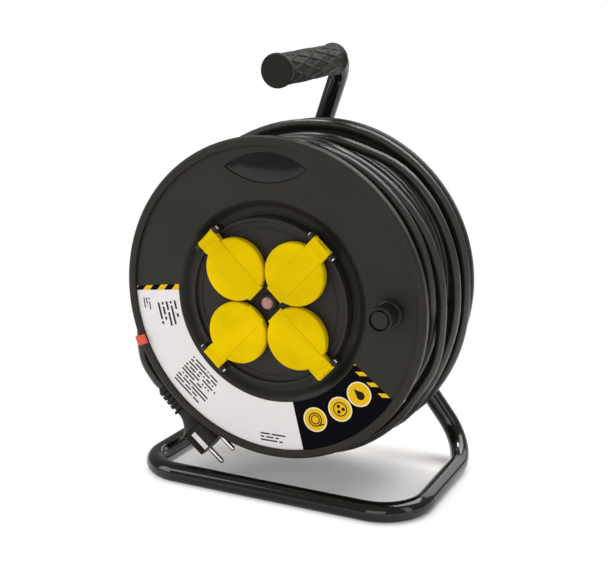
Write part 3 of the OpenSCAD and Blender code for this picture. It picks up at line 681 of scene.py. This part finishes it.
class REEL_OT_cable(bpy.types.Operator):
    """Winds the whole cable on the drum and leads its end to the plug"""

    bl_idname = "reel.cable"
    bl_label = "Cable"

    def execute(self, context):
        sizes = context.scene.reel_sizes
        points, angle = wound_layers()
        winding = [polar(*p) for p in points + loose_layer(angle)]
        along, heading = polar(1, OUTER_END + 90, 0), polar(1, PLUG_HEADING, 0)
        tail = winding.pop()
        relief = polar(*PLUG_PLACE) - RELIEF_END * heading
        lead = [tail, tail + 9 * along, tail + 18 * along, *map(Vector, LEAD_ROUTE)]
        lead += [relief - 9 * heading, relief, relief + 20 * heading]
        path = [DRUM @ (p * MM) for p in winding + rounded_route(lead)]
        data = bpy.data.curves.new("wound_cable", "CURVE")
        data.dimensions = "3D"
        data.bevel_depth = sizes.cable_width / 2
        data.bevel_resolution = 4
        data.use_fill_caps = True
        spline = data.splines.new("POLY")
        spline.points.add(len(path) - 1)
        for point, spot in zip(spline.points, path):
            point.co = (*spot, 1)
        cable = bpy.data.objects.new("wound_cable", data)
        context.scene.collection.objects.link(cable)
        dress(
            cable, finish("cable"), "drum", "cable_rubber", "cable_core", "cable_outer_layer", "lead_cable"
        )
        return {"FINISHED"}


# Stand and drum


CARRIED = {
    "tube": ("frame_tube",),
    "zinc": ("axle_spindle", "axle_washer", "axle_nut", "circlip", "flange_screws", "plate_screws"),
    "plastic": (
        "saddle_washers", "front_flange", "rear_flange", "drum_barrel", "socket_plate", "breaker_body",
        "breaker_bezel", "cord_inlet", "knob_pin", *(f"socket_insert_{i}" for i in SOCKETS),
    ),
    "bush": ("thrust_washer", "rear_bush", "terminal_block"),
    "gasket": ("plate_gasket", *(f"lid_gasket_{i}" for i in SOCKETS)),
    "brass": ("contact_sleeves",),
    "bright": (*(f"lid_pin_{i}" for i in SOCKETS), *(f"lid_spring_{i}" for i in SOCKETS)),
    "nickel": ("plug_pins", "plug_earth_strips", *(f"earth_clips_{i}" for i in SOCKETS)),
}


class REEL_OT_frame(bpy.types.Operator):
    """Gives the stand, the drum and the inner pieces their finishes"""

    bl_idname = "reel.frame"
    bl_label = "Stand and drum"

    def execute(self, context):
        for name, nodes in CARRIED.items():
            for node in nodes:
                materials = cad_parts[node].data.materials
                materials.clear()
                materials.append(finish(name))
        return {"FINISHED"}


# Grip


class REEL_OT_grip(bpy.types.Operator):
    """Models the rubber grip with its net of ridges"""

    bl_idname = "reel.grip"
    bl_label = "Grip"

    CELLS_ROUND, CELL_LENGTH, RIDGE_WIDTH = 9, 36.0, 1.6
    # The sleeve between the end flanges: its distance from both ends, radius, swell and rows
    FROM_FRONT, FROM_REAR, SLEEVE_R, SWELL, ROWS = 9.0, 16.0, 12.55, 0.5, 150
    RIDGED_R = 0.012

    def execute(self, context):
        low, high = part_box("handle_grip")
        long = (high.y - low.y) / MM
        middle = Vector(((low.x + high.x) / 2, low.y, (low.z + high.z) / 2))
        first, last = self.FROM_FRONT, long - self.FROM_REAR
        profile = [(0, 0.8), (4, 0.6), (8, 0.3), (11, 0.1), *arc(12.8, 2.2, 2.15, -80, 0, 6), (14.9, 4.2)]
        profile += [(14.3, 5.2), (13.5, 6.3), (12.9, 7.6)]
        for k in range(self.ROWS + 1):
            u = k / self.ROWS
            profile.append((self.SLEEVE_R + self.SWELL * math.sin(math.pi * u), first + (last - first) * u))
        profile += [(12.7, long - 13), (13.1, long - 10), (13.7, long - 7), (14.4, long - 5)]
        profile += arc(13.7, long - 3.3, 1.25, 0, 80, 6)
        profile += [(12.6, long - 1.85), (9.2, long - 1.8), (9.2, long - 8)]
        grip = lathe("rubber_grip", profile, 180)
        self.raise_ridges(grip, first - 1, last + 7, context.scene.reel_sizes.ridge_height)
        shade(grip, 60)
        place(grip, Matrix.Translation(middle) @ turned(-90, "X"))
        dress(grip, finish("grip"), "stand", "grip_rubber", "handle_grip")
        return {"FINISHED"}

    def raise_ridges(self, grip, first, last, height):
        """Lifts the surface along crossing lines that close into long diamonds."""
        for vertex in grip.data.vertices:
            along = vertex.co.z / MM
            outward = Vector((vertex.co.x, vertex.co.y, 0))
            if not first < along < last or outward.length < self.RIDGED_R:
                continue
            turn = math.atan2(vertex.co.y, vertex.co.x) / math.tau * self.CELLS_ROUND
            step = (along - first) / self.CELL_LENGTH
            gap = min(abs(line - round(line)) for line in (turn + step, turn - step))
            across = gap * math.tau * outward.length / MM / self.CELLS_ROUND
            fade = smooth((along - first) / 4) * smooth((last - along) / 8)
            vertex.co += outward.normalized() * height * fade * smooth(1 - across / self.RIDGE_WIDTH)


# Lids


# The hinge pin seen from the lid's middle, in millimetres, and the radii of its bore and the rolled end
HINGE_X, HINGE_Z = 77.5 - SOCKET_R, 5.6
BORE_R, ROLL_R = 1.31, 3.3


class REEL_OT_lids(bpy.types.Operator):
    """Models the four yellow lids with their raised bands and hinge necks"""

    bl_idname = "reel.lids"
    bl_label = "Lids"

    def execute(self, context):
        edge = context.scene.reel_sizes.edge_round
        lid = self.model_lid(edge)
        for number in SOCKETS:
            pick(lid)
            bpy.ops.object.duplicate()
            copy = bpy.context.active_object
            copy.name = copy.data.name = f"lid_cover_{number}"
            place(copy, at_socket(number))
            dress(copy, finish("lid"), f"lid_{number}", "lid_yellow", f"lid_{number}")
        bpy.data.objects.remove(lid)
        return {"FINISHED"}

    def model_lid(self, edge):
        """A shallow cap with a raised band, a hinge neck, the pin's bore and a pocket for the spring."""
        profile = [(0, 5.5), (25.7, 5.5), (25.7, 1.2)]
        profile += [*arc(27.6, 1.7, 0.5, -90, 0, 3), *arc(26.3, 6.2, 1.8, 0, 65, 6)]
        profile += [(25.6, 8.05), (24.8, 8.12), (19, 8.35), (0, 8.6)]
        lid = lathe("lid_form", profile, 128)
        top = [(-28.6, 7.15), (-28.1, 7.6), (-26.2, 8.15), (-20, 8.7), (0, 9.0), (20, 8.95), (30, 8.85)]
        band = self.side_slab("lid_band", [*top, (30, 6.4), (-25.9, 6.4), (-25.9, 5.1), (-28.6, 5.1)], 9.0)
        soften(band, edge * 0.8, 3)
        combine(lid, band, "UNION")
        combine(lid, self.model_neck(), "UNION")
        bore = lathe("lid_bore", [(0, -12), (BORE_R, -12), (BORE_R, 12), (0, 12)], 32)
        place(bore, moved(HINGE_X, 0, HINGE_Z) @ turned(90, "X"))
        combine(lid, bore, "DIFFERENCE")
        pocket = block("lid_pocket", (7, 10, 9.1), (HINGE_X - 1, 0, HINGE_Z + 2.5 - 4.55))
        combine(lid, pocket, "DIFFERENCE")
        shade(lid, 30)
        return lid

    def side_slab(self, name, outline, half):
        """A slab whose outline is seen from the lid's side."""
        made = slab(name, outline, -half, half)
        place(made, turned(90, "X"))
        return made

    def model_neck(self):
        """The hinge neck: grip steps across its top, and a rolled end round the pin."""
        outline = [(26.6, 3.0), (HINGE_X, HINGE_Z - ROLL_R)]
        outline += arc(HINGE_X, HINGE_Z, ROLL_R, -75, 88, 12)
        for x in (34.4, 32.4, 30.4):
            outline += [(x + 0.5, 8.88), (x + 0.3, 8.5), (x - 0.3, 8.5), (x - 0.5, 8.88)]
        neck = self.side_slab("lid_neck", [*outline, (28.6, 8.8), (26.6, 8.0)], 10.0)
        soften(neck, 0.00025, 2, 50)
        return neck


# Label and badge


class REEL_OT_label(bpy.types.Operator):
    """Makes the printed label on the lower half of the front flange and the bare badge above"""

    bl_idname = "reel.label"
    bl_label = "Label and badge"

    LOW, THICK = -2.99, 0.12
    OUTER_SPAN, INNER_SPAN, STEPS = (180.8, 327.7), (330.4, 176.9), 120
    INK, TEXT_INK, SIGN_INK = (0.0025, 0.0022, 0.004), (0.035, 0.035, 0.04), (0.02, 0.016, 0.01)
    DISC_EDGE_COLOUR = (0.86, 0.76, 0.5)
    # Striped ends: a point on the edge, its direction, the side, and the stripes' length, start and share
    ENDS = (((-141.5, -1.4), 7.2, 1, 15.3, 0.0, 0.48), ((79.1, -44.8), -37.8, -1, 13.35, 11.2, 0.4))
    STRIPE_WIDTH = 5.1
    DARK_FROM = 283.4
    # Ruled text: angle and radius of its middle, half length, half height and pitch
    TEXT = (
        (193.5, 106, 12, 10, 4.4), (229, 113, 20, 17, 3.4), (271, 126.5, 13, 4.6, 3.1), (188, 127, 6, 4, 2.7),
    )
    LINE_SHARE, WORD_LENGTH, WORD_GAPS = 0.48, 1.9, 0.2
    DISCS = (292.9, 307.0, 319.4)
    DISC_PLACE_R, DISC_R, DISC_EDGE = 111.6, 11.4, 1.2

    def execute(self, context):
        sizes, colours = context.scene.reel_sizes, context.scene.reel_colours
        inner, outer = sizes.label_inner / MM, sizes.label_outer / MM
        outline = arc(0, 0, outer, *self.OUTER_SPAN, self.STEPS)
        outline += arc(0, 0, inner, *self.INNER_SPAN, self.STEPS)
        label = slab("printed_label", outline, self.LOW, self.LOW + self.THICK)
        shade(label, 30)
        place(label, FACE)
        dress(label, self.print_finish(colours), "drum", "black_plastic")
        self.add_badge()
        return {"FINISHED"}

    def print_finish(self, colours):
        """Paper with striped ends, ruled text and three signs, measured in millimetres from the axle."""
        made = Finish("label_print", colours.paper, 0.4, 0.03)
        axes = made.axes()
        x = made.math("MULTIPLY", axes["X"], 1000.0)
        y = made.math("MULTIPLY_ADD", axes["Z"], 1000.0, -AXLE_Z * 1000)
        angle = made.math("MULTIPLY", made.math("ARCTAN2", y, x), math.degrees(1))
        angle = made.math("MODULO", made.math("ADD", angle, 720.0), 360.0)
        colour = made.blend(made.math("GREATER_THAN", angle, self.DARK_FROM), colours.paper, self.INK)
        for text in self.TEXT:
            colour = made.blend(self.text_mask(made, x, y, *text), colour, self.TEXT_INK)
        for point, lean, side, pitch, start, share in self.ENDS:
            along, inward = made.along(x, y, point, lean)
            inward = made.math("MULTIPLY", inward, -1.0)
            lines = made.math("DIVIDE", made.math("SUBTRACT", made.math("ADD", along, inward), start), pitch)
            stripe = made.math("LESS_THAN", made.math("FRACT", made.math("ADD", lines, 8.0)), share)
            strip = made.math("LESS_THAN", inward, self.STRIPE_WIDTH)
            half = made.math("LESS_THAN", made.math("MULTIPLY", x, side), 0.0)
            hazard = made.blend(stripe, self.INK, colours.sign)
            colour = made.blend(made.math("MULTIPLY", strip, half), colour, hazard)
        for sign, degrees in zip((self.coil_sign, self.core_sign, self.drop_sign), self.DISCS):
            centre = polar(self.DISC_PLACE_R, degrees, 0)
            dx, dy = made.along(x, y, (centre.x, centre.y), degrees - 270)
            far = made.length(dx, dy)
            inside = self.DISC_R - self.DISC_EDGE
            for r, tone in ((self.DISC_R, self.DISC_EDGE_COLOUR), (inside, colours.sign)):
                colour = made.blend(made.math("LESS_THAN", far, r), colour, tone)
            colour = made.blend(sign(made, dx, dy, far), colour, self.SIGN_INK)
        made.colour(colour)
        made.uneven(60, 3, 0.36, 0.46)
        made.bump(made.noise(300, 2), 0.00003, 0.2)
        return made.material

    def text_mask(self, made, x, y, degrees, radius, half_length, half_height, pitch):
        """Ruled lines broken into words, with ragged ends."""
        centre = polar(radius, degrees, 0)
        along, across = made.along(x, y, (centre.x, centre.y), degrees + 90)
        line = made.math("DIVIDE", made.math("ADD", across, half_height), pitch)
        row = made.math("FLOOR", line)
        inked = made.math("LESS_THAN", made.math("FRACT", line), self.LINE_SHARE)
        word = made.node("TexWhiteNoise", noise_dimensions="2D")
        spot = made.node("CombineXYZ")
        made.put(spot.inputs[0], made.math("FLOOR", made.math("DIVIDE", along, self.WORD_LENGTH)))
        made.put(spot.inputs[1], row)
        made.put(word.inputs["Vector"], spot.outputs[0])
        kept = made.math("GREATER_THAN", word.outputs["Value"], self.WORD_GAPS)
        inked = made.math("MULTIPLY", inked, kept)
        ragged = made.node("TexWhiteNoise", noise_dimensions="1D")
        made.put(ragged.inputs["W"], row)
        end = made.math("MULTIPLY_ADD", ragged.outputs["Value"], 0.7 * half_length, 0.3 * half_length)
        inked = made.math("MULTIPLY", inked, made.math("LESS_THAN", along, end))
        inked = made.math("MULTIPLY", inked, made.math("GREATER_THAN", along, -half_length))
        return made.math("MULTIPLY", inked, made.within(across, -half_height, half_height))

    def coil_sign(self, made, dx, dy, far):
        """A wound coil, for the cable."""
        rings = made.math("ADD", made.within(far, 5.4, 6.6), made.within(far, 3.3, 4.4))
        tail = made.math("MULTIPLY", made.within(dy, -6.6, -5.5), made.within(dx, 0.0, 7.0))
        return made.math("MAXIMUM", rings, tail)

    def core_sign(self, made, dx, dy, far):
        """A cut cable with three cores."""
        mask = made.within(far, 5.7, 6.7)
        for turn in (90, 210, 330):
            spot = polar(2.9, turn, 0)
            near = made.length(made.math("SUBTRACT", dx, spot.x), made.math("SUBTRACT", dy, spot.y))
            mask = made.math("MAXIMUM", mask, made.math("LESS_THAN", near, 1.7))
        return mask

    def drop_sign(self, made, dx, dy, far):
        """A drop of water."""
        bowl = made.math("LESS_THAN", made.length(dx, made.math("ADD", dy, 1.8)), 3.9)
        width = made.math("MULTIPLY", made.math("SUBTRACT", 6.6, dy), 0.48)
        slim = made.math("LESS_THAN", made.math("ABSOLUTE", dx), width)
        cone = made.math("MULTIPLY", slim, made.within(dy, -0.2, 6.6))
        return made.math("MAXIMUM", bowl, cone)

    def add_badge(self):
        """A bare gloss lens in the recess near the rim."""
        half_w, half_h, from_rim = 39.4, 12.9, 27.5
        r = (half_w ** 2 + half_h ** 2) / (2 * half_h)
        reach = math.degrees(math.asin(half_w / r))
        upper = arc(0, half_h - r, r, 90 - reach, 90 + reach, 24)
        lower = arc(0, r - half_h, r, 270 - reach, 270 + reach, 24)
        badge = slab("bare_badge", upper[:-1] + lower[:-1], -4.75, -4.1)
        soften(badge, 0.0003, 3)
        shade(badge, 40)
        place(badge, DRUM @ moved(0, FLANGE_R - from_rim, 0))
        made = Finish("badge_gloss", (0.006, 0.006, 0.006), 0.12, 0.3, coat_weight=0.15, coat_roughness=0.05)
        made.uneven(80, 3, 0.08, 0.2)
        dress(badge, made.material, "drum", "black_plastic")


# Knob and button


class REEL_OT_knob(bpy.types.Operator):
    """Turns the winding knob, and the reset button with its spring"""

    bl_idname = "reel.knob"
    bl_label = "Knob and button"

    FLUTES, FLUTE_DEPTH, FLUTED_R, FLUTES_LOW, FLUTES_HIGH = 24, 0.0002, 0.009, 0.0044, 0.0163
    # The return spring's foot, radii of coil and wire, pitch and turns, and its share when pressed
    FOOT, COIL_R, WIRE_R, PITCH, COILS, PRESSED = -13.55, 5.6, 0.4, 1.525, 4, 0.55

    def execute(self, context):
        self.add_knob()
        self.add_button(context.scene.reel_colours.button)
        self.add_spring()
        return {"FINISHED"}

    def add_knob(self):
        profile = [(4.06, -0.2), (11.7, -0.2), (12.0, 0.1), (12.0, 1.5), (11.6, 2.0), (10.3, 2.6), (9.9, 3.4)]
        profile += [(9.9, 4.5), (9.9, 16.2), (10.1, 17.2), (10.9, 18.0), (11.0, 18.6)]
        profile += [*arc(9.8, 20.7, 1.2, 0, 90, 6), (9.4, 21.9), (9.0, 21.5), (8.9, 18.1)]
        profile += [(4.06, 18.1), (4.06, -0.2)]
        knob = lathe("winding_knob_sleeve", profile, 144)
        self.cut_flutes(knob)
        shade(knob, 30)
        place(knob, DRUM @ moved(KNOB_R, 0, 0))
        dress(knob, finish("knob"), "winding_knob", "black_plastic", "winding_knob")

    def cut_flutes(self, knob):
        """Presses shallow grip flutes into the sleeve between its two rims."""
        for vertex in knob.data.vertices:
            outward = Vector((vertex.co.x, vertex.co.y, 0))
            if outward.length > self.FLUTED_R and self.FLUTES_LOW < vertex.co.z < self.FLUTES_HIGH:
                turn = math.atan2(vertex.co.y, vertex.co.x)
                vertex.co -= outward.normalized() * self.FLUTE_DEPTH * (1 - math.cos(self.FLUTES * turn))

    def add_button(self, colour):
        profile = [(0, -7), (6.55, -7), (6.55, -5), (5.35, -5), (5.35, 2.6)]
        profile += [*arc(4.1, 3.0, 1.25, 0, 60, 5), (2.6, 4.75), (0, 5)]
        button = lathe("reset_button_cap", profile, 64)
        shade(button, 30)
        place(button, DRUM)
        made = Finish("button_cap", colour, 0.3, subsurface_weight=0.3, subsurface_scale=0.004)
        made.mottle(160, 3, scaled(colour, 0.9), scaled(colour, 1.08))
        made.uneven(300, 3, 0.25, 0.4)
        dress(button, made.material, "reset_button", "button_red", "reset_button")

    def add_spring(self):
        """Winds the spring under the button."""
        spring = begin_point("button_return_spring")
        trace([(x, 0, z) for x, z in arc(self.COIL_R, self.FOOT, self.WIRE_R, 0, 360, 10)])
        close_mesh()
        apply_modifier(
            spring, "SCREW", screw_offset=self.PITCH * MM, iterations=self.COILS, steps=24, render_steps=24
        )
        bpy.ops.object.mode_set(mode="EDIT")
        bpy.ops.mesh.select_all(action="DESELECT")
        bpy.ops.mesh.select_non_manifold()
        bpy.ops.mesh.fill_holes(sides=0)
        close_mesh()
        shade(spring, 50)
        place(spring, DRUM)
        dress(spring, finish("zinc"), "drum", "zinc_steel", "button_spring")
        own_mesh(spring)


# Plug and clip


class REEL_OT_plug(bpy.types.Operator):
    """Models the plug with its ribbed strain relief, and the clip on the rim"""

    bl_idname = "reel.plug"
    bl_label = "Plug and clip"

    PIN_REACH = 9.5
    RIBS, RIB_PITCH, RIB_GROWTH = 4, 5.4, 0.35

    def execute(self, context):
        self.add_shell()
        self.add_relief()
        self.add_clip()
        return {"FINISHED"}

    def add_shell(self):
        """A collar, a flared bell and a round head, with slots for the strips, pins and guides."""
        profile = [(0, -24), (8.6, -24), *arc(8.8, -23.1, 0.9, -90, 90, 8), (7.6, -21.9)]
        profile += [(7.2 + 12 * (t / 12) ** 2.2, -21.6 + 20.4 * t / 12) for t in range(13)]
        profile += [(19.2, -0.5), *arc(18.7, -0.1, 0.5, 0, 90, 4), (17.95, 0.5)]
        profile += [(17.8, 0.9), (17.8, 20.8), *arc(16.8, 21.0, 1.0, 0, 90, 4), (0, 22)]
        shell = lathe("plug_shell", profile, 96)
        for side in (-1, 1):
            slot = block("plug_slot", (2.6, 7, 20), (side * 16.9, 0, 13))
            combine(shell, slot, "DIFFERENCE")
            pin_seat = lathe("pin_seat", [(0, 14), (3.25, 14), (3.25, 24), (0, 24)], 32)
            place(pin_seat, moved(0, side * self.PIN_REACH, 0))
            combine(shell, pin_seat, "DIFFERENCE")
            guide = block("plug_guide", (8, 6, 4), (0, side * 18.8, 4))
            combine(shell, guide, "DIFFERENCE")
        shade(shell, 30)
        place(shell, at_plug())
        dress(shell, finish("plug"), "drum", "plug_rubber", "plug_body")

    def add_relief(self):
        """Thick ribs that grow towards the plug."""
        profile = [(4.6, -RELIEF_END), (5.2, -RELIEF_END), (5.8, -49.4), (5.9, -48.2)]
        for k in range(self.RIBS):
            z, r = -47.6 + self.RIB_PITCH * k, 7.4 + self.RIB_GROWTH * k
            profile += [(r - 1.9, z - 0.5), (r - 1.7, z + 0.05)]
            profile += [*arc(r - 0.7, z + 0.75, 0.7, -90, 0, 3), *arc(r - 0.7, z + 3.05, 0.7, 0, 90, 3)]
            profile += [(r - 1.7, z + 3.75), (r - 1.9, z + 4.3)]
        profile += [(6.8, -25.2), (7.2, -24), (4.6, -24), (4.6, -RELIEF_END)]
        relief = lathe("plug_strain_relief", profile, 64)
        shade(relief, 35)
        place(relief, at_plug())
        dress(relief, finish("plug"), "drum", "plug_rubber", "plug_relief")

    def add_clip(self):
        """A bent strip that hooks over the rim."""
        outline = [(-9, 0.3), (0.3, 0.3), (0.3, -9.3), (-6, -9.3)]
        outline += [(-6, -10.9), (1.9, -10.9), (1.9, 1.9), (-9, 1.9)]
        clip = slab("rim_clip", outline, -4.5, 4.5)
        soften(clip, 0.0005, 3, 50)
        shade(clip, 35)
        place(clip, DRUM @ turned(CLIP_ANGLE, "Z") @ moved(FLANGE_R, 0, 0) @ turned(90, "X"))
        dress(clip, finish("clip"), "drum", "clip_red", "cord_clip")


OPERATORS = (
    REEL_OT_stage,
    REEL_OT_plug,
    REEL_OT_cable,
    REEL_OT_frame,
    REEL_OT_grip,
    REEL_OT_lids,
    REEL_OT_label,
    REEL_OT_knob,
)


class REEL_PT_panel(bpy.types.Panel):
    """Lists the reel's pieces, sizes and colours"""

    bl_idname = "REEL_PT_panel"
    bl_label = "Extension cord reel"
    bl_space_type = "VIEW_3D"
    bl_region_type = "UI"
    bl_category = "Reel"

    def draw(self, context):
        for operator in OPERATORS:
            self.layout.operator(operator.bl_idname)
        for group in (context.scene.reel_sizes, context.scene.reel_colours):
            column = self.layout.column()
            for key in group.__annotations__:
                column.prop(group, key)


CLASSES = (ReelSizes, ReelColours, *OPERATORS, REEL_PT_panel)


def register():
    for made in CLASSES:
        bpy.utils.register_class(made)
    bpy.types.Scene.reel_sizes = bpy.props.PointerProperty(type=ReelSizes)
    bpy.types.Scene.reel_colours = bpy.props.PointerProperty(type=ReelColours)


def unregister():
    del bpy.types.Scene.reel_sizes
    del bpy.types.Scene.reel_colours
    for made in reversed(CLASSES):
        bpy.utils.unregister_class(made)


def main():
    register()
    bpy.ops.reel.stage()
    bpy.ops.reel.plug()
    bpy.ops.reel.cable()
    bpy.ops.reel.frame()
    bpy.ops.reel.grip()
    bpy.ops.reel.lids()
    bpy.ops.reel.label()
    bpy.ops.reel.knob()
    deselect()


if __name__ == "__main__":
    main()
